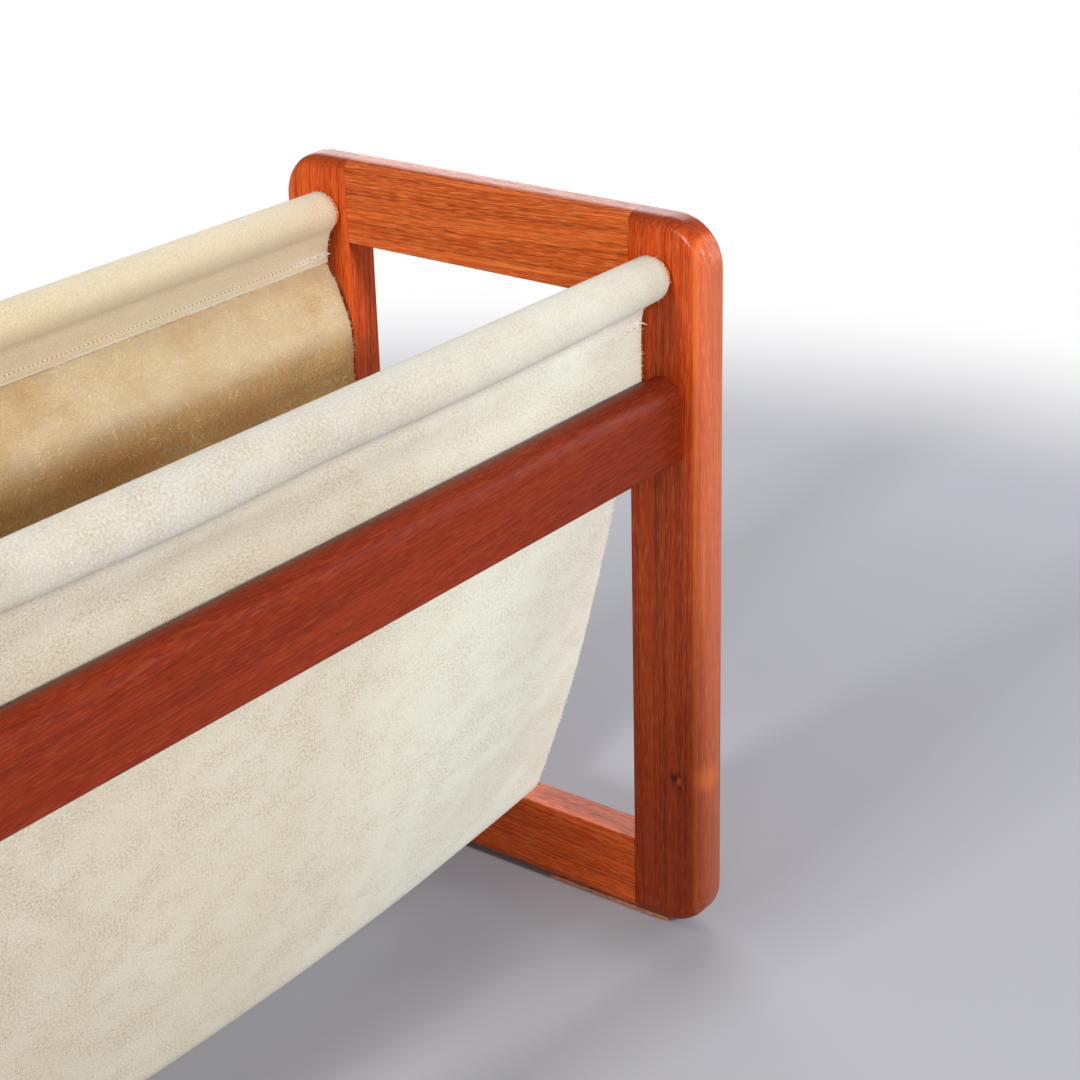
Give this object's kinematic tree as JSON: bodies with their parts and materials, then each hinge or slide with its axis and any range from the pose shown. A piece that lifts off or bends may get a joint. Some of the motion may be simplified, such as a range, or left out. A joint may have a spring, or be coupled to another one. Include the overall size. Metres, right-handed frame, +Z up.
{
  "type": "magazine rack",
  "caption": "Free-standing magazine rack: rounded teak end frames joined by side rails, with a suede sling hung between rods as an open-topped pocket.",
  "frame": {"origin": "on the floor, under the middle of the rack", "axes": "+X along the rack's length, +Y from front to back, +Z up"},
  "size_m": [0.461, 0.248, 0.362],
  "materials": {
    "teak_end_frame": "oiled, satin, fine grain",
    "teak_side_rail": "oiled, satin, deeper red-brown",
    "rod_wood": "oiled, matt",
    "dowel_wood": "plain, unfinished",
    "suede": "napped, cream outside and tan in the pocket",
    "sewing_thread": "off-white, matt",
    "glide_leather": "plain cut strip"
  },
  "bodies": {
    "rack": {"post_front_right": "teak_end_frame", "glide_front_right": "glide_leather", "post_back_right": "teak_end_frame", "glide_back_right": "glide_leather", "top_rail_right": "teak_end_frame", "top_rail_dowels_right": "dowel_wood", "bottom_rail_right": "teak_end_frame", "bottom_rail_dowels_right": "dowel_wood", "post_front_left": "teak_end_frame", "glide_front_left": "glide_leather", "post_back_left": "teak_end_frame", "glide_back_left": "glide_leather", "top_rail_left": "teak_end_frame", "top_rail_dowels_left": "dowel_wood", "bottom_rail_left": "teak_end_frame", "bottom_rail_dowels_left": "dowel_wood", "side_rail_front": "teak_side_rail", "side_rail_dowels_front": "dowel_wood", "hem_thread_front": "sewing_thread", "side_rail_back": "teak_side_rail", "side_rail_dowels_back": "dowel_wood", "hem_thread_back": "sewing_thread", "sling": "suede"},
    "front_rod": {"rod_front": "rod_wood"},
    "back_rod": {"rod_back": "rod_wood"}
  },
  "joints": [
    {"name": "front_rod_turn", "type": "hinge", "parent": "rack", "child": "front_rod", "pos_m": [0, -0.097, 0.335], "axis": [1, 0, 0], "continuous": true},
    {"name": "back_rod_turn", "type": "hinge", "parent": "rack", "child": "back_rod", "pos_m": [0, 0.097, 0.335], "axis": [1, 0, 0], "continuous": true}
  ]
}
